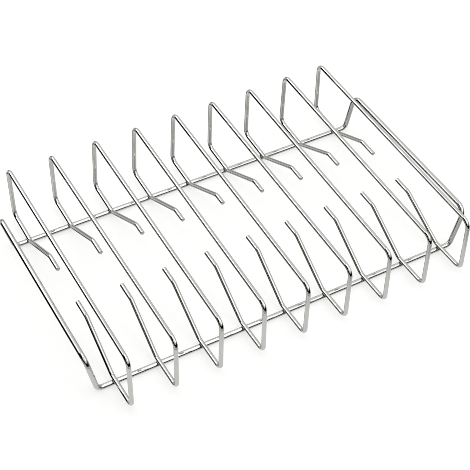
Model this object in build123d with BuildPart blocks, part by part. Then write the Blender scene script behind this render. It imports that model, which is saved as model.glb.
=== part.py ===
from build123d import *
import math
import os

# A rack that holds racks of ribs on edge over a roasting tin or a grill: nine bent wires stand
# across two rails, and the rails are the long sides of one closed ring whose ends are raised as
# grips. X runs along the rails, Y across them and Z up. The origin is on the surface that the
# rails stand on, in the middle of the whole rack. All sizes are millimetres.

# Wire stock
frame_wire_diameter = 4.8
rib_wire_diameter = 4.0

# Row of ribs
rib_count = 9
rib_pitch = 42.0

# Rails, measured between their axes
rail_spacing = 187.2

# Ring ends, measured from the nearest rib's axis and from the rails' axis
left_corner_overhang = 15.1
left_bar_overhang = 24.7
left_bar_rise = 42.2
right_corner_overhang = 13.8
right_bar_overhang = 22.8
right_bar_rise = 40.2
ring_corner_radius = 6.5
bar_corner_radius = 10.0

# The ring was bent a little out of square: its front rail sits further left than its back rail,
# and its right bar is higher at the front
rail_skew = 2.2
right_bar_tilt = 2.4

# Rib outline, overall sizes outside the wire
rib_width = 259.0
rack_height = 69.3
leg_lean = 0.6
foot_lift = 1.4
top_bend_radius = 8.0
foot_bend_radius = 7.0

# Fingers, which fold back inside each rib and rise towards the middle
finger_root_inset = 5.0
finger_root_radius = 10.0
finger_shoulder_spacing = 79.8
finger_rise = 25.7
finger_shoulder_radius = 10.0
cropped_end_chamfer = 0.3

# Level tips of the fingers, from the shoulder to the cropped end. The front ones are alike, and
# the back ones were cropped unevenly, from the left rib to the right one.
front_tip_length = 19.0
back_tip_lengths = [18.5, 17.5, 13.0, 15.0, 12.5, 15.5, 18.0, 17.0, 20.0]

# How far each rib, from left to right, leans out of true along the row at its fingers and at its
# two top bends. The ribs stand on pitch at the rails, where the welding jig held them.
back_finger_leans = [0.5, 0.5, 2.5, 1.0, 2.5, 1.5, 1.0, 1.0, -2.0]
front_finger_leans = [0.0, 0.5, 0.0, 0.5, 1.5, 0.5, 1.0, 0.0, -2.0]
back_top_leans = [-1.0, -1.0, 1.5, 1.5, 1.5, 0.0, 0.0, 0.5, -1.5]
front_top_leans = [-1.0, -0.5, 0.0, -1.0, 0.0, 0.0, -1.0, -0.5, -1.5]

# Welds between the ribs and the rails
weld_set_down = 0.35
weld_nugget_radius = 2.3

frame_wire_radius = frame_wire_diameter / 2
rib_wire_radius = rib_wire_diameter / 2

os.makedirs("parts", exist_ok=True)


# Frame ring

rail_y = rail_spacing / 2
rail_z = frame_wire_radius
row_length = (rib_count - 1) * rib_pitch

# The rack is centred between its two end bars, so the row of ribs sits a little to one side
first_rib_x = (left_bar_overhang - right_bar_overhang - row_length) / 2
last_rib_x = first_rib_x + row_length
left_corner_x = first_rib_x - left_corner_overhang
left_bar_x = first_rib_x - left_bar_overhang
left_bar_z = rail_z + left_bar_rise
right_corner_x = last_rib_x + right_corner_overhang
right_bar_x = last_rib_x + right_bar_overhang
right_bar_z = rail_z + right_bar_rise

# Each half of the ring starts and ends in the middle of a rail
right_half_corners = [
    (0, -rail_y, rail_z),
    (right_corner_x - rail_skew / 2, -rail_y, rail_z),
    (right_bar_x, -rail_y, right_bar_z + right_bar_tilt / 2),
    (right_bar_x, rail_y, right_bar_z - right_bar_tilt / 2),
    (right_corner_x + rail_skew / 2, rail_y, rail_z),
    (0, rail_y, rail_z),
]
left_half_corners = [
    (0, rail_y, rail_z),
    (left_corner_x + rail_skew / 2, rail_y, rail_z),
    (left_bar_x, rail_y, left_bar_z),
    (left_bar_x, -rail_y, left_bar_z),
    (left_corner_x - rail_skew / 2, -rail_y, rail_z),
    (0, -rail_y, rail_z),
]
half_ring_radii = [ring_corner_radius, bar_corner_radius, bar_corner_radius, ring_corner_radius]
ring_length = 0

with BuildPart() as frame_wire:
    for half_corners in (right_half_corners, left_half_corners):
        with BuildLine() as half_line:
            half_path = FilletPolyline(*half_corners, radius=half_ring_radii)
        with BuildSketch(Plane(origin=half_path @ 0, z_dir=half_path % 0)):
            Circle(frame_wire_radius)
        sweep(path=half_path)
        ring_length += half_path.length

frame_wire.part.label = "frame_wire"
export_step(frame_wire.part, "parts/frame_wire.step")


# Rib wires

# Each foot crosses its rail on a slight slope, and is highest at its outer end
seat_z = frame_wire_diameter + rib_wire_radius - weld_set_down
foot_y = rib_width / 2 - rib_wire_radius
foot_z = seat_z + foot_lift
top_y = foot_y - leg_lean
top_z = rack_height - rib_wire_radius
finger_root_y = rail_y - finger_root_inset
finger_root_z = seat_z - foot_lift * finger_root_inset / (foot_y - rail_y)
finger_shoulder_y = finger_shoulder_spacing / 2
finger_z = finger_root_z + finger_rise

half_rib_radii = [finger_shoulder_radius, finger_root_radius, foot_bend_radius, top_bend_radius]
rib_radii = half_rib_radii + half_rib_radii[::-1]

for number in range(1, rib_count + 1):
    rib_x = first_rib_x + (number - 1) * rib_pitch
    back_finger_x = rib_x + back_finger_leans[(number - 1) % len(back_finger_leans)]
    front_finger_x = rib_x + front_finger_leans[(number - 1) % len(front_finger_leans)]
    back_top_x = rib_x + back_top_leans[(number - 1) % len(back_top_leans)]
    front_top_x = rib_x + front_top_leans[(number - 1) % len(front_top_leans)]
    back_tip_length = back_tip_lengths[(number - 1) % len(back_tip_lengths)]
    rib_corners = [
        (back_finger_x, finger_shoulder_y - back_tip_length, finger_z),
        (back_finger_x, finger_shoulder_y, finger_z),
        (rib_x, finger_root_y, finger_root_z),
        (rib_x, foot_y, foot_z),
        (back_top_x, top_y, top_z),
        (front_top_x, -top_y, top_z),
        (rib_x, -foot_y, foot_z),
        (rib_x, -finger_root_y, finger_root_z),
        (front_finger_x, -finger_shoulder_y, finger_z),
        (front_finger_x, front_tip_length - finger_shoulder_y, finger_z),
    ]
    with BuildPart() as rib_wire:
        with BuildLine() as rib_line:
            rib_path = FilletPolyline(*rib_corners, radius=rib_radii)
        with BuildSketch(Plane(origin=rib_path @ 0, z_dir=rib_path % 0)):
            Circle(rib_wire_radius)
        sweep(path=rib_path)
        cropped_ends = rib_wire.faces().filter_by(GeomType.PLANE)
        chamfer(cropped_ends.edges(), length=cropped_end_chamfer)

        # The weld squeezes a nugget of metal out between rib and rail, and the rib takes the
        # rail's round shape where it has sunk onto it
        with Locations((rib_x, -rail_y, frame_wire_diameter), (rib_x, rail_y, frame_wire_diameter)):
            Sphere(weld_nugget_radius)
        with Locations((rib_x, -rail_y, rail_z), (rib_x, rail_y, rail_z)):
            Cylinder(frame_wire_radius, rib_pitch, rotation=(0, 90, 0), mode=Mode.SUBTRACT)

    name = f"rib_wire_{number}"
    rib_wire.part.label = name
    export_step(rib_wire.part, f"parts/{name}.step")
    print(name, "wire length", round(rib_path.length, 1))

ring_volume = ring_length * math.pi * frame_wire_radius**2
print("ring length", round(ring_length, 1), "volume", round(frame_wire.part.volume, 1))
print("section times length", round(ring_volume, 1))
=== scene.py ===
import math

import bpy
from mathutils import Matrix, Vector


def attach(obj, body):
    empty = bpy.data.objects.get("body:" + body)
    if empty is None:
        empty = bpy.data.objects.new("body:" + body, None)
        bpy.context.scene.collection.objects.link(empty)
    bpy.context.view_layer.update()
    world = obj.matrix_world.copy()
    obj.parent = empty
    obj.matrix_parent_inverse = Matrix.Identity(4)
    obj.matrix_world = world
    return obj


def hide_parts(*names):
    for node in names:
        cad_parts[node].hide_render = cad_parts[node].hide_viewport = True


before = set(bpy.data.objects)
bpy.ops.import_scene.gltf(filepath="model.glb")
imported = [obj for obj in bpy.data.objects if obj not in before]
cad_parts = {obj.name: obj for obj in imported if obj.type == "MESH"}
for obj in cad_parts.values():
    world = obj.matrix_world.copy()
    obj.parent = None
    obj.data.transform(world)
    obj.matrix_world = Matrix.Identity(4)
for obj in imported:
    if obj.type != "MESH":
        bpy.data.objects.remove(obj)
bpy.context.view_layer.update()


# Frame ring: one drawn steel wire of 4.8 mm, bent into a closed ring and butt-welded. Its long
# sides are the rails under the ribs, and both its ends are bent up into grips. It is plated
# bright with the ribs, and was bent a little out of square.

mm = 0.001
frame_wire_radius = 2.4 * mm
rail_spacing = 187.2 * mm
rib_pitch = 42.0 * mm
rib_count = 9

# The raised ends, measured from the nearest rib and from the rails
left_corner_overhang = 15.1 * mm
left_bar_overhang = 24.7 * mm
left_bar_rise = 42.2 * mm
right_corner_overhang = 13.8 * mm
right_bar_overhang = 22.8 * mm
right_bar_rise = 40.2 * mm
ring_corner_radius = 6.5 * mm
bar_corner_radius = 10.0 * mm
rail_skew = 2.2 * mm
right_bar_tilt = 2.4 * mm


def linear(hex_colour):
    """The linear colour of a hex colour in sRGB."""
    channels = []
    for start in (1, 3, 5):
        level = int(hex_colour[start:start + 2], 16) / 255
        channels.append(level / 12.92 if level <= 0.04045 else ((level + 0.055) / 1.055) ** 2.4)
    return (*channels, 1)


def add_node(tree, kind, settings=None, sockets=None):
    """Adds a node with its settings and its sockets' values or links, by socket name or number."""
    node = tree.nodes.new(kind)
    for name, value in (settings or {}).items():
        setattr(node, name, value)
    for name, value in (sockets or {}).items():
        if isinstance(value, bpy.types.NodeSocket):
            tree.links.new(value, node.inputs[name])
        else:
            node.inputs[name].default_value = value
    return node


def new_material(name):
    """An empty node material, with its tree and its output."""
    material = bpy.data.materials.new(name)
    material.use_nodes = True
    material.node_tree.nodes.clear()
    output = add_node(material.node_tree, "ShaderNodeOutputMaterial")
    return material, material.node_tree, output


def plated_wire(name, colour, line_spacing, ripple_size, roughest):
    """Bright nickel and chromium plate on drawn wire: a mirror whose gloss drifts a little."""
    material, tree, output = new_material(name)
    place = add_node(tree, "ShaderNodeTexCoord")
    lay = add_node(tree, "ShaderNodeAttribute", {"attribute_name": "drawn_lay"})

    # Lines of the drawing die, long along the wire and narrow round it. Real ones are a few
    # hundredths of a millimetre apart, and are drawn coarser here to show.
    line_length = 60 * line_spacing
    line_depth = 0.006 * mm
    stretch = (1 / line_spacing, 1 / line_spacing, 1 / line_length)
    stretched = add_node(tree, "ShaderNodeVectorMath", {"operation": "MULTIPLY"},
                         {0: lay.outputs["Vector"], 1: stretch})
    lines = add_node(tree, "ShaderNodeTexNoise", {},
                     {"Vector": stretched.outputs[0], "Scale": 1.0, "Detail": 3.0, "Roughness": 0.6})
    line_bump = add_node(tree, "ShaderNodeBump", {},
                         {"Height": lines.outputs[0], "Strength": 0.08, "Distance": line_depth})

    # The plate follows the slight ripple of the wire under it
    ripple_depth = 0.02 * mm
    ripple = add_node(tree, "ShaderNodeTexNoise", {},
                      {"Vector": place.outputs["Object"], "Scale": 1 / ripple_size, "Detail": 1.0})
    ripple_bump = add_node(tree, "ShaderNodeBump", {},
                           {"Height": ripple.outputs[0], "Strength": 0.06, "Distance": ripple_depth,
                            "Normal": line_bump.outputs[0]})

    # Haze from handling and washing, which dulls the mirror in patches
    haze_patch = 14 * mm
    haze_colour = "#D2D2CE"
    glossiest = 0.03
    haze = add_node(tree, "ShaderNodeTexNoise", {},
                    {"Vector": place.outputs["Object"], "Scale": 1 / haze_patch, "Detail": 4.0})
    roughness = add_node(tree, "ShaderNodeMapRange", {},
                         {"Value": haze.outputs[0], "From Min": 0.35, "From Max": 0.75,
                          "To Min": glossiest, "To Max": roughest})
    tone = add_node(tree, "ShaderNodeMix", {"data_type": "RGBA"},
                    {"Factor": haze.outputs[0], 6: linear(colour), 7: linear(haze_colour)})
    shader = add_node(tree, "ShaderNodeBsdfPrincipled", {},
                      {"Base Color": tone.outputs[2], "Metallic": 1.0,
                       "Roughness": roughness.outputs[0], "Normal": ripple_bump.outputs[0]})
    tree.links.new(shader.outputs[0], output.inputs["Surface"])
    return material


frame_plate = plated_wire("bright_chrome_plate_on_frame_wire", "#DDDDD9",
                          line_spacing=0.15 * mm, ripple_size=1.9 * mm, roughest=0.09)


def bent_wire_tree():
    """A tree that rounds the bends of a line of points and draws a wire along it, with its welds."""
    tree = bpy.data.node_groups.new("bent_wire", "GeometryNodeTree")
    tree.interface.new_socket("Geometry", in_out="INPUT", socket_type="NodeSocketGeometry")
    for name, kind in (("Wire Radius", "NodeSocketFloat"), ("Sides", "NodeSocketInt"),
                       ("Bend Steps", "NodeSocketInt"), ("Welds", "NodeSocketInt"),
                       ("Weld Place", "NodeSocketVector"), ("Weld Spacing", "NodeSocketFloat"),
                       ("Weld Collar", "NodeSocketObject"), ("Seed", "NodeSocketInt"),
                       ("Wire Material", "NodeSocketMaterial"),
                       ("End Material", "NodeSocketMaterial"),
                       ("Weld Material", "NodeSocketMaterial")):
        tree.interface.new_socket(name, in_out="INPUT", socket_type=kind)
    tree.interface.new_socket("Geometry", in_out="OUTPUT", socket_type="NodeSocketGeometry")
    given = add_node(tree, "NodeGroupInput")

    # The wire: its bends rounded, and drawn thinner where an end is chamfered
    line = add_node(tree, "GeometryNodeMeshToCurve", {}, {"Mesh": given.outputs["Geometry"]})
    bend = add_node(tree, "GeometryNodeInputNamedAttribute", {"data_type": "FLOAT"},
                    {"Name": "bend_radius"})
    rounded = add_node(tree, "GeometryNodeFilletCurve", {"mode": "POLY"},
                       {"Curve": line.outputs[0], "Count": given.outputs["Bend Steps"],
                        "Radius": bend.outputs[0]})
    thickness = add_node(tree, "GeometryNodeInputNamedAttribute", {"data_type": "FLOAT"},
                         {"Name": "thickness"})
    along = add_node(tree, "GeometryNodeSplineParameter")
    measured = add_node(tree, "GeometryNodeCaptureAttribute", {"domain": "POINT"},
                        {"Geometry": rounded.outputs[0]})
    measured.capture_items.new("FLOAT", "Length")
    tree.links.new(along.outputs["Length"], measured.inputs["Length"])
    round_bar = add_node(tree, "GeometryNodeCurvePrimitiveCircle", {"mode": "RADIUS"},
                         {"Resolution": given.outputs["Sides"], "Radius": given.outputs["Wire Radius"]})
    spot = add_node(tree, "GeometryNodeInputPosition")
    around = add_node(tree, "GeometryNodeCaptureAttribute", {"domain": "POINT"},
                      {"Geometry": round_bar.outputs[0]})
    around.capture_items.new("VECTOR", "Around")
    tree.links.new(spot.outputs[0], around.inputs["Around"])
    wire = add_node(tree, "GeometryNodeCurveToMesh", {},
                    {"Curve": measured.outputs["Geometry"], "Profile Curve": around.outputs["Geometry"],
                     "Scale": thickness.outputs[0], "Fill Caps": True})

    # The lay of the drawing lines: across the wire in x and y, and along it in z
    across = add_node(tree, "ShaderNodeSeparateXYZ", {}, {0: around.outputs["Around"]})
    lay = add_node(tree, "ShaderNodeCombineXYZ", {},
                   {0: across.outputs[0], 1: across.outputs[1], 2: measured.outputs["Length"]})
    laid = add_node(tree, "GeometryNodeStoreNamedAttribute",
                    {"data_type": "FLOAT_VECTOR", "domain": "POINT"},
                    {"Geometry": wire.outputs[0], "Name": "drawn_lay", "Value": lay.outputs[0]})
    smooth = add_node(tree, "GeometryNodeSetShadeSmooth", {}, {"Geometry": laid.outputs[0]})

    # The plate, and the cropped ends, whose faces are the only ones with more than four corners
    plated = add_node(tree, "GeometryNodeSetMaterial", {},
                      {"Geometry": smooth.outputs[0], "Material": given.outputs["Wire Material"]})
    corners = add_node(tree, "GeometryNodeCornersOfFace")
    is_end = add_node(tree, "FunctionNodeCompare", {"data_type": "INT", "operation": "GREATER_THAN"},
                      {2: corners.outputs["Total"], 3: 4})
    cropped = add_node(tree, "GeometryNodeSetMaterial", {},
                       {"Geometry": plated.outputs[0], "Selection": is_end.outputs[0],
                        "Material": given.outputs["End Material"]})

    # One weld collar at each rail, turned and sized at random, so that no two are quite alike
    smallest, largest = 0.94, 1.05
    number = add_node(tree, "GeometryNodeInputIndex")
    side = add_node(tree, "ShaderNodeMath", {"operation": "SUBTRACT"}, {0: number.outputs[0], 1: 0.5})
    out_by = add_node(tree, "ShaderNodeMath", {"operation": "MULTIPLY"},
                      {0: side.outputs[0], 1: given.outputs["Weld Spacing"]})
    sideways = add_node(tree, "ShaderNodeCombineXYZ", {}, {1: out_by.outputs[0]})
    weld_spot = add_node(tree, "ShaderNodeVectorMath", {"operation": "ADD"},
                         {0: sideways.outputs[0], 1: given.outputs["Weld Place"]})
    spots = add_node(tree, "GeometryNodePoints", {},
                     {"Count": given.outputs["Welds"], "Position": weld_spot.outputs[0]})
    collar = add_node(tree, "GeometryNodeObjectInfo", {}, {"Object": given.outputs["Weld Collar"]})
    turn = add_node(tree, "FunctionNodeRandomValue", {"data_type": "INT"},
                    {4: 0, 5: 1, "ID": number.outputs[0], "Seed": given.outputs["Seed"]})
    half_turn = add_node(tree, "ShaderNodeMath", {"operation": "MULTIPLY"},
                         {0: turn.outputs[2], 1: math.pi})
    turned = add_node(tree, "ShaderNodeCombineXYZ", {}, {2: half_turn.outputs[0]})
    size = add_node(tree, "FunctionNodeRandomValue", {"data_type": "FLOAT"},
                    {2: smallest, 3: largest, "ID": number.outputs[0], "Seed": given.outputs["Seed"]})
    collars = add_node(tree, "GeometryNodeInstanceOnPoints", {},
                       {"Points": spots.outputs[0], "Instance": collar.outputs["Geometry"],
                        "Rotation": turned.outputs[0], "Scale": size.outputs[1]})
    marked = add_node(tree, "GeometryNodeJoinGeometry")
    tree.links.new(collars.outputs[0], marked.inputs[0])
    tree.links.new(cropped.outputs[0], marked.inputs[0])
    made_real = add_node(tree, "GeometryNodeRealizeInstances", {}, {"Geometry": marked.outputs[0]})
    weld_face = add_node(tree, "GeometryNodeInputNamedAttribute", {"data_type": "BOOLEAN"},
                         {"Name": "weld_face"})
    welded = add_node(tree, "GeometryNodeSetMaterial", {},
                      {"Geometry": made_real.outputs[0], "Selection": weld_face.outputs[0],
                       "Material": given.outputs["Weld Material"]})
    done = add_node(tree, "NodeGroupOutput")
    tree.links.new(welded.outputs[0], done.inputs[0])
    return tree


wire_tree = bent_wire_tree()


def wire_piece(name, bends, closed, inputs):
    """Draws one wire through its bends, each a point, a bend radius and a share of the thickness."""
    points, radii, thicknesses = zip(*bends)
    edges = [(n, n + 1) for n in range(len(points) - 1)]
    if closed:
        edges.append((len(points) - 1, 0))
    line = bpy.data.meshes.new(name + "_line")
    line.from_pydata(points, edges, [])
    for attribute, values in (("bend_radius", radii), ("thickness", thicknesses)):
        line.attributes.new(attribute, "FLOAT", "POINT").data.foreach_set("value", values)
    drawing = bpy.data.objects.new(name + "_line", line)
    bpy.context.scene.collection.objects.link(drawing)
    modifier = drawing.modifiers.new("bent_wire", "NODES")
    modifier.node_group = wire_tree
    for item in wire_tree.interface.items_tree:
        if item.in_out == "INPUT" and item.name in inputs:
            modifier[item.identifier] = inputs[item.name]
    depsgraph = bpy.context.evaluated_depsgraph_get()
    mesh = bpy.data.meshes.new_from_object(drawing.evaluated_get(depsgraph))
    drawing.modifiers.remove(modifier)
    bpy.data.objects.remove(drawing)
    mesh.name = name
    mesh.set_sharp_from_angle(angle=math.radians(35))
    piece = bpy.data.objects.new(name, mesh)
    bpy.context.scene.collection.objects.link(piece)
    return piece


rail_y = rail_spacing / 2
rail_z = frame_wire_radius
row_length = (rib_count - 1) * rib_pitch
first_rib_x = (left_bar_overhang - right_bar_overhang - row_length) / 2
last_rib_x = first_rib_x + row_length
left_corner_x = first_rib_x - left_corner_overhang
left_bar_x = first_rib_x - left_bar_overhang
left_bar_z = rail_z + left_bar_rise
right_corner_x = last_rib_x + right_corner_overhang
right_bar_x = last_rib_x + right_bar_overhang
right_bar_z = rail_z + right_bar_rise
ring_bends = [
    ((0, rail_y, rail_z), 0, 1),
    ((left_corner_x + rail_skew / 2, rail_y, rail_z), ring_corner_radius, 1),
    ((left_bar_x, rail_y, left_bar_z), bar_corner_radius, 1),
    ((left_bar_x, -rail_y, left_bar_z), bar_corner_radius, 1),
    ((left_corner_x - rail_skew / 2, -rail_y, rail_z), ring_corner_radius, 1),
    ((right_corner_x - rail_skew / 2, -rail_y, rail_z), ring_corner_radius, 1),
    ((right_bar_x, -rail_y, right_bar_z + right_bar_tilt / 2), bar_corner_radius, 1),
    ((right_bar_x, rail_y, right_bar_z - right_bar_tilt / 2), bar_corner_radius, 1),
    ((right_corner_x + rail_skew / 2, rail_y, rail_z), ring_corner_radius, 1),
]
ring = wire_piece(
    "plated_ring", ring_bends, True,
    {"Wire Radius": frame_wire_radius, "Sides": 44, "Bend Steps": 16, "Welds": 0,
     "Wire Material": frame_plate, "End Material": frame_plate, "Weld Material": frame_plate})
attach(ring, "root")
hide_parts("frame_wire")


# Rib wires: nine drawn steel wires of 4 mm, each bent from finger tip to finger tip and spot-welded
# across the two rails. They are plated bright after welding, their ends are cropped with a light
# chamfer, and each one leans a little out of true, as the real ones do.

rib_wire_radius = 2.0 * mm
rib_width = 259.0 * mm
rack_height = 69.3 * mm
leg_lean = 0.6 * mm
foot_lift = 1.4 * mm
top_bend_radius = 8.0 * mm
foot_bend_radius = 7.0 * mm
finger_root_inset = 5.0 * mm
finger_root_radius = 10.0 * mm
finger_shoulder_spacing = 79.8 * mm
finger_rise = 25.7 * mm
finger_shoulder_radius = 10.0 * mm
cropped_end_chamfer = 0.3 * mm
front_tip_length = 19.0 * mm
weld_set_down = 0.35 * mm

# From the left rib to the right one, in millimetres
back_tip_lengths = [18.5, 17.5, 13.0, 15.0, 12.5, 15.5, 18.0, 17.0, 20.0]
back_finger_leans = [0.5, 0.5, 2.5, 1.0, 2.5, 1.5, 1.0, 1.0, -2.0]
front_finger_leans = [0.0, 0.5, 0.0, 0.5, 1.5, 0.5, 1.0, 0.0, -2.0]
back_top_leans = [-1.0, -1.0, 1.5, 1.5, 1.5, 0.0, 0.0, 0.5, -1.5]
front_top_leans = [-1.0, -0.5, 0.0, -1.0, 0.0, 0.0, -1.0, -0.5, -1.5]

rib_plate = plated_wire("bright_chrome_plate_on_rib_wire", "#DFDFDB",
                        line_spacing=0.12 * mm, ripple_size=1.6 * mm, roughest=0.08)

# Chrome plate over sheared steel: a cropped end keeps the marks of the shear under its plate, so
# it is duller than the wire
cropped_face, tree, output = new_material("chrome_plate_on_cropped_end")
shear_mark_spacing = 1.3 * mm
shear_mark_depth = 0.05 * mm
place = add_node(tree, "ShaderNodeTexCoord")
shear = add_node(tree, "ShaderNodeTexWave", {"bands_direction": "X"},
                 {"Vector": place.outputs["Object"], "Scale": 1 / shear_mark_spacing,
                  "Distortion": 6.0, "Detail": 3.0})
shear_bump = add_node(tree, "ShaderNodeBump", {},
                      {"Height": shear.outputs["Fac"], "Strength": 0.5, "Distance": shear_mark_depth})
shader = add_node(tree, "ShaderNodeBsdfPrincipled", {},
                  {"Base Color": linear("#DCDBD7"), "Metallic": 1.0, "Roughness": 0.48,
                   "Normal": shear_bump.outputs[0]})
tree.links.new(shader.outputs[0], output.inputs["Surface"])

# Chrome plate over weld metal: a resistance weld squeezes out a collar all round the crossing,
# whose skin is pitted and dull. Its dark colour is painted shade, the shade where the rib crosses the
# rail, so it shows as a small dark ring
weld_collar_with_painted_shade, tree, output = new_material("chrome_plate_on_weld_metal_with_painted_shade")
pit_size = 0.5 * mm
pit_depth = 0.12 * mm
place = add_node(tree, "ShaderNodeTexCoord")
pits = add_node(tree, "ShaderNodeTexNoise", {},
                {"Vector": place.outputs["Object"], "Scale": 1 / pit_size, "Detail": 4.0,
                 "Roughness": 0.65})
pit_bump = add_node(tree, "ShaderNodeBump", {},
                    {"Height": pits.outputs[0], "Strength": 0.6, "Distance": pit_depth})
pit_roughness = add_node(tree, "ShaderNodeMapRange", {},
                         {"Value": pits.outputs[0], "From Min": 0.3, "From Max": 0.7,
                          "To Min": 0.16, "To Max": 0.36})
# Painted shade: the collar's near-black and dark grey tones stand in for the shade at the crossing, and
# the pits only vary them
pits_and_painted_shade = add_node(tree, "ShaderNodeMix", {"data_type": "RGBA"},
                    {"Factor": pits.outputs[0], 6: linear("#2C2B2A"), 7: linear("#7E7D79")})
shader = add_node(tree, "ShaderNodeBsdfPrincipled", {},
                  {"Base Color": pits_and_painted_shade.outputs[2], "Metallic": 1.0,
                   "Roughness": pit_roughness.outputs[0], "Normal": pit_bump.outputs[0]})
tree.links.new(shader.outputs[0], output.inputs["Surface"])


def weld_collar(rail_radius, wire_radius, set_down):
    """The collar of one weld, round the point where the rib sits on the rail's top."""
    axis_gap = rail_radius + wire_radius - set_down
    mean_reach_mm = 2.25
    rail_lap = 0.32 * mm
    rib_lap = 0.28 * mm
    waist_inset = 0.10 * mm
    skin_depth = 0.04 * mm
    core_radius = 0.6 * mm
    widest = 0.96
    turns, rises = 48, 9
    points, faces = [], []
    for step in range(turns):
        angle = 2 * math.pi * step / turns
        along_rail, along_rib = math.cos(angle), math.sin(angle)

        # The collar's edge wanders, and laps onto the rail below and the rib above, both round
        wobble_mm = (0.08 * math.sin(3 * angle + 0.7) + 0.06 * math.sin(5 * angle + 2.1)
                     + 0.03 * math.sin(9 * angle))
        reach = (mean_reach_mm + wobble_mm) * mm
        low_reach = min(reach + rail_lap, widest * rail_radius / max(abs(along_rib), 1e-6))
        high_reach = min(reach + rib_lap, widest * wire_radius / max(abs(along_rail), 1e-6))
        low = math.sqrt(rail_radius**2 - (low_reach * along_rib)**2) - skin_depth
        high = axis_gap - math.sqrt(wire_radius**2 - (high_reach * along_rail)**2) + skin_depth

        # Its side draws in between the two laps, and closes on a core inside the crossing
        waist = reach - waist_inset
        profile = []
        for rise in range(rises):
            part = rise / (rises - 1)
            out = (1 - part)**2 * low_reach + 2 * part * (1 - part) * waist + part**2 * high_reach
            height = low + (high - low) * part
            profile.append((out, height))
        profile += [(core_radius, high), (core_radius, low)]
        for out, height in profile:
            points.append((out * along_rail, out * along_rib, height - rail_radius))
    ring_points = rises + 2
    for step in range(turns):
        here, following = step * ring_points, (step + 1) % turns * ring_points
        for rise in range(ring_points):
            above = (rise + 1) % ring_points
            faces.append((here + rise, following + rise, following + above, here + above))
    mesh = bpy.data.meshes.new("weld_collar")
    mesh.from_pydata(points, [], faces)
    mark = mesh.attributes.new("weld_face", "BOOLEAN", "FACE")
    mark.data.foreach_set("value", [True] * len(faces))
    mesh.shade_smooth()
    return bpy.data.objects.new("weld_collar", mesh)


collar = weld_collar(frame_wire_radius, rib_wire_radius, weld_set_down)

seat_z = 2 * frame_wire_radius + rib_wire_radius - weld_set_down
foot_y = rib_width / 2 - rib_wire_radius
foot_z = seat_z + foot_lift
top_y = foot_y - leg_lean
top_z = rack_height - rib_wire_radius
root_y = rail_spacing / 2 - finger_root_inset
root_z = seat_z - foot_lift * finger_root_inset / (foot_y - rail_spacing / 2)
shoulder_y = finger_shoulder_spacing / 2
finger_z = root_z + finger_rise

# A cropped end's rim: how far in from its face, and the share of the wire's thickness there
end_rim = [(depth * cropped_end_chamfer, thick)
           for depth, thick in ((0, 0.74), (0.2, 0.84), (0.6, 0.93), (1.2, 0.98), (2, 1))]

for number in range(1, rib_count + 1):
    rib_x = first_rib_x + (number - 1) * rib_pitch
    back_x = rib_x + back_finger_leans[number - 1] * mm
    front_x = rib_x + front_finger_leans[number - 1] * mm
    back_top_x = rib_x + back_top_leans[number - 1] * mm
    front_top_x = rib_x + front_top_leans[number - 1] * mm
    back_tip_y = shoulder_y - back_tip_lengths[number - 1] * mm
    front_tip_y = front_tip_length - shoulder_y
    back_end = [((back_x, back_tip_y + depth, finger_z), 0, thick) for depth, thick in end_rim]
    front_end = [((front_x, front_tip_y - depth, finger_z), 0, thick)
                 for depth, thick in reversed(end_rim)]
    bends = back_end + [
        ((back_x, shoulder_y, finger_z), finger_shoulder_radius, 1),
        ((rib_x, root_y, root_z), finger_root_radius, 1),
        ((rib_x, foot_y, foot_z), foot_bend_radius, 1),
        ((back_top_x, top_y, top_z), top_bend_radius, 1),
        ((front_top_x, -top_y, top_z), top_bend_radius, 1),
        ((rib_x, -foot_y, foot_z), foot_bend_radius, 1),
        ((rib_x, -root_y, root_z), finger_root_radius, 1),
        ((front_x, -shoulder_y, finger_z), finger_shoulder_radius, 1),
    ] + front_end
    rib = wire_piece(
        f"plated_rib_{number}", bends, False,
        {"Wire Radius": rib_wire_radius, "Sides": 40, "Bend Steps": 14, "Welds": 2,
         "Weld Place": (rib_x, 0, 2 * frame_wire_radius), "Weld Spacing": rail_spacing,
         "Weld Collar": collar, "Seed": number, "Wire Material": rib_plate,
         "End Material": cropped_face, "Weld Material": weld_collar_with_painted_shade})
    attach(rib, "root")
    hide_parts(f"rib_wire_{number}")

bpy.data.objects.remove(collar)


# Table: the rack stands on clear glass over a white backdrop. The camera sees the backdrop white,
# with the rack's soft shadow, other light sees white card, and the wires mirror the room below
# the table too.

floor_size = 1.1
half_floor = floor_size / 2
floor_corners = [(-half_floor, -half_floor, 0), (half_floor, -half_floor, 0),
                 (half_floor, half_floor, 0), (-half_floor, half_floor, 0)]
floor_mesh = bpy.data.meshes.new("clear_table")
floor_mesh.from_pydata(floor_corners, [], [(0, 1, 2, 3)])
floor = bpy.data.objects.new("clear_table", floor_mesh)
bpy.context.scene.collection.objects.link(floor)

# The backdrop that the camera sees gives light of its own, and the rack shades only the rest
table_top, tree, output = new_material("clear_table_over_white")
ray = add_node(tree, "ShaderNodeLightPath")
white_card = add_node(tree, "ShaderNodeBsdfDiffuse", {}, {"Color": linear("#F2F2F0")})
lit_backdrop = add_node(tree, "ShaderNodeEmission", {},
                        {"Color": linear("#FFFFFF"), "Strength": 0.63})
shaded_backdrop = add_node(tree, "ShaderNodeBsdfDiffuse", {}, {"Color": linear("#B0B0AE")})
backdrop = add_node(tree, "ShaderNodeAddShader", {},
                    {0: lit_backdrop.outputs[0], 1: shaded_backdrop.outputs[0]})
seen = add_node(tree, "ShaderNodeMixShader", {},
                {0: ray.outputs["Is Camera Ray"], 1: white_card.outputs[0], 2: backdrop.outputs[0]})
mirrored = add_node(tree, "ShaderNodeMath", {"operation": "MAXIMUM"},
                    {0: ray.outputs["Is Glossy Ray"], 1: ray.outputs["Is Transmission Ray"]})
clear = add_node(tree, "ShaderNodeBsdfTransparent")
glass = add_node(tree, "ShaderNodeMixShader", {},
                 {0: mirrored.outputs[0], 1: seen.outputs[0], 2: clear.outputs[0]})
tree.links.new(glass.outputs[0], output.inputs["Surface"])
floor_mesh.materials.append(table_top)


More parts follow.
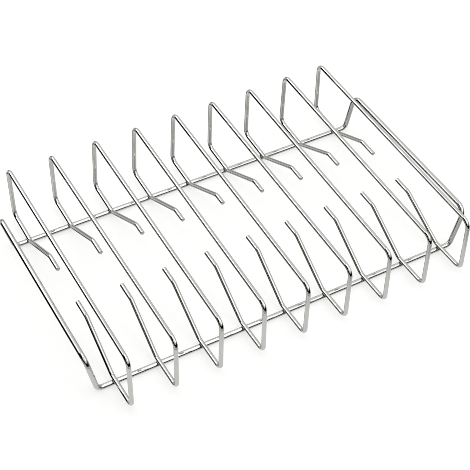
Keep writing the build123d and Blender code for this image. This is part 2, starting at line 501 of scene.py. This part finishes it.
# Studio light: a pale room, hung with black, grey and pale cards that the wires mirror as their
# dark and light lines, and three soft boxes, over the rack, behind it and in front of it, which
# give the wires their white tops. The camera sees a white backdrop in place of the room.

world = bpy.data.worlds.new("studio")
bpy.context.scene.world = world
world.use_nodes = True
tree = world.node_tree
tree.nodes.clear()
way = add_node(tree, "ShaderNodeTexCoord")
height = add_node(tree, "ShaderNodeSeparateXYZ", {}, {0: way.outputs["Generated"]})
rise = add_node(tree, "ShaderNodeMapRange", {},
                {"Value": height.outputs[2], "From Min": -1.0, "From Max": 1.0,
                 "To Min": 0.0, "To Max": 1.0})

# How bright the room is, from straight below (0) to straight above (1)
wall_levels = [(0.12, 0.76), (0.15, 0.68), (0.18, 0.46), (0.27, 0.55),
               (0.40, 0.55), (0.60, 0.63), (0.72, 0.70), (0.90, 0.85)]
walls = add_node(tree, "ShaderNodeValToRGB", {}, {"Fac": rise.outputs[0]})
for stop_rise, level in wall_levels:
    stop = walls.color_ramp.elements.new(stop_rise)
    stop.color = (level, level, level, 1)
walls.color_ramp.elements.remove(walls.color_ramp.elements[0])
walls.color_ramp.elements.remove(walls.color_ramp.elements[-1])


def card_in_room(left, right, low, high, level):
    """How bright the room is beside its walls where a card hangs: the card's level, or else 1."""
    soft_turn, soft_rise = 0.05, 0.04
    middle = math.radians((left + right) / 2)
    half_width = math.radians((left - right) / 2)
    ahead = add_node(tree, "ShaderNodeVectorMath", {"operation": "DOT_PRODUCT"},
                     {0: way.outputs["Generated"], 1: (math.cos(middle), math.sin(middle), 0)})
    aside = add_node(tree, "ShaderNodeVectorMath", {"operation": "DOT_PRODUCT"},
                     {0: way.outputs["Generated"], 1: (-math.sin(middle), math.cos(middle), 0)})
    turn = add_node(tree, "ShaderNodeMath", {"operation": "ARCTAN2"},
                    {0: aside.outputs["Value"], 1: ahead.outputs["Value"]})
    turn_off = add_node(tree, "ShaderNodeMath", {"operation": "ABSOLUTE"}, {0: turn.outputs[0]})
    beside = add_node(tree, "ShaderNodeMapRange", {"interpolation_type": "SMOOTHSTEP"},
                      {"Value": turn_off.outputs[0], "From Min": half_width - soft_turn,
                       "From Max": half_width + soft_turn})
    bottom, top = math.sin(math.radians(low)), math.sin(math.radians(high))
    half_height = (top - bottom) / 2
    off_middle = add_node(tree, "ShaderNodeMath", {"operation": "SUBTRACT"},
                          {0: height.outputs[2], 1: (bottom + top) / 2})
    rise_off = add_node(tree, "ShaderNodeMath", {"operation": "ABSOLUTE"}, {0: off_middle.outputs[0]})
    past_edge = add_node(tree, "ShaderNodeMapRange", {"interpolation_type": "SMOOTHSTEP"},
                         {"Value": rise_off.outputs[0], "From Min": half_height - soft_rise,
                          "From Max": half_height + soft_rise})
    off_card = add_node(tree, "ShaderNodeMath", {"operation": "MAXIMUM"},
                        {0: beside.outputs[0], 1: past_edge.outputs[0]})
    return add_node(tree, "ShaderNodeMapRange", {"clamp": False},
                    {"Value": off_card.outputs[0], "To Min": level, "To Max": 1.0})


# Each card's left and right edge, in degrees round from the rack's right end by way of its back,
# its bottom and top, in degrees above the table, and its level beside the walls
black, dark_grey, grey, pale = 0.0, 0.35, 0.72, 1.3
room_cards = [
    (131, 110, -44, -33, black),
    (112, 87, -54, -41, black),
    (168, 128, -36, 23, black),
    (212, 150, -13, 62, black),
    (240, 205, -8, 30, black),
    (345, 238, -20, 14, black),
    (97, 78, -14, 14, dark_grey),
    (300, 210, -44, -34, grey),
    (205, 145, -44, -37, pale),
]
brightness = walls
for left, right, low, high, level in room_cards:
    card = card_in_room(left, right, low, high, level)
    brightness = add_node(tree, "ShaderNodeMath", {"operation": "MULTIPLY"},
                          {0: brightness.outputs[0], 1: card.outputs[0]})
room = add_node(tree, "ShaderNodeBackground", {},
                {"Color": linear("#FFFFFF"), "Strength": brightness.outputs[0]})
white_wall = add_node(tree, "ShaderNodeBackground", {},
                      {"Color": linear("#FFFFFF"), "Strength": 1.0})
ray = add_node(tree, "ShaderNodeLightPath")
surround = add_node(tree, "ShaderNodeMixShader", {},
                    {0: ray.outputs["Is Camera Ray"], 1: room.outputs[0], 2: white_wall.outputs[0]})
add_node(tree, "ShaderNodeOutputWorld", {}, {"Surface": surround.outputs[0]})


def soft_box(name, place, aim, width, depth, brightness):
    """Hangs a flat soft lamp that is evenly bright all over."""
    lamp_data = bpy.data.lights.new(name, "AREA")
    lamp_data.shape = "RECTANGLE"
    lamp_data.size = width
    lamp_data.size_y = depth
    lamp_data.energy = brightness * math.pi * width * depth
    lamp = bpy.data.objects.new(name, lamp_data)
    bpy.context.scene.collection.objects.link(lamp)
    lamp.location = place
    lamp.rotation_euler = (Vector(aim) - Vector(place)).to_track_quat("-Z", "Y").to_euler()


soft_box("overhead_soft_box", place=(0, -0.1, 1.2), aim=(0, 0, 0),
         width=0.9, depth=0.9, brightness=1.05)
soft_box("back_soft_box", place=(-0.44, 0.83, 0.80), aim=(0, 0, 0.05),
         width=0.95, depth=0.62, brightness=1.5)
soft_box("front_soft_box", place=(0.50, -0.76, 0.87), aim=(0, 0, 0.05),
         width=0.85, depth=0.60, brightness=1.2)


# Camera: it stands in front of the rack, to the left and above, and looks down its row of ribs.
# Its place and its lens were worked out from the lines of the rails, the legs and the top bars.

camera_data = bpy.data.cameras.new("photo_camera")
camera_data.sensor_width = 36
camera_data.lens = 97.87
camera_data.clip_start = 0.05
camera_data.clip_end = 20
camera = bpy.data.objects.new("photo_camera", camera_data)
bpy.context.scene.collection.objects.link(camera)
camera_right = Vector((0.873996, -0.485208, 0.026540))
camera_down = Vector((-0.332414, -0.636822, -0.695672))
camera_forward = Vector((0.354447, 0.599192, -0.717870))
camera_turn = Matrix((camera_right, -camera_down, -camera_forward)).transposed().to_4x4()
middle_of_row = Vector((first_rib_x + row_length / 2, 0, rail_z))
camera_place = middle_of_row + Vector((-422.136, -714.420, 868.834)) * mm
camera.matrix_world = Matrix.Translation(camera_place) @ camera_turn
bpy.context.scene.camera = camera
bpy.context.scene.view_settings.view_transform = "Standard"

# The photograph is crisp, so each pixel blends a little less of its neighbours than usual
bpy.context.scene.cycles.filter_width = 0.85
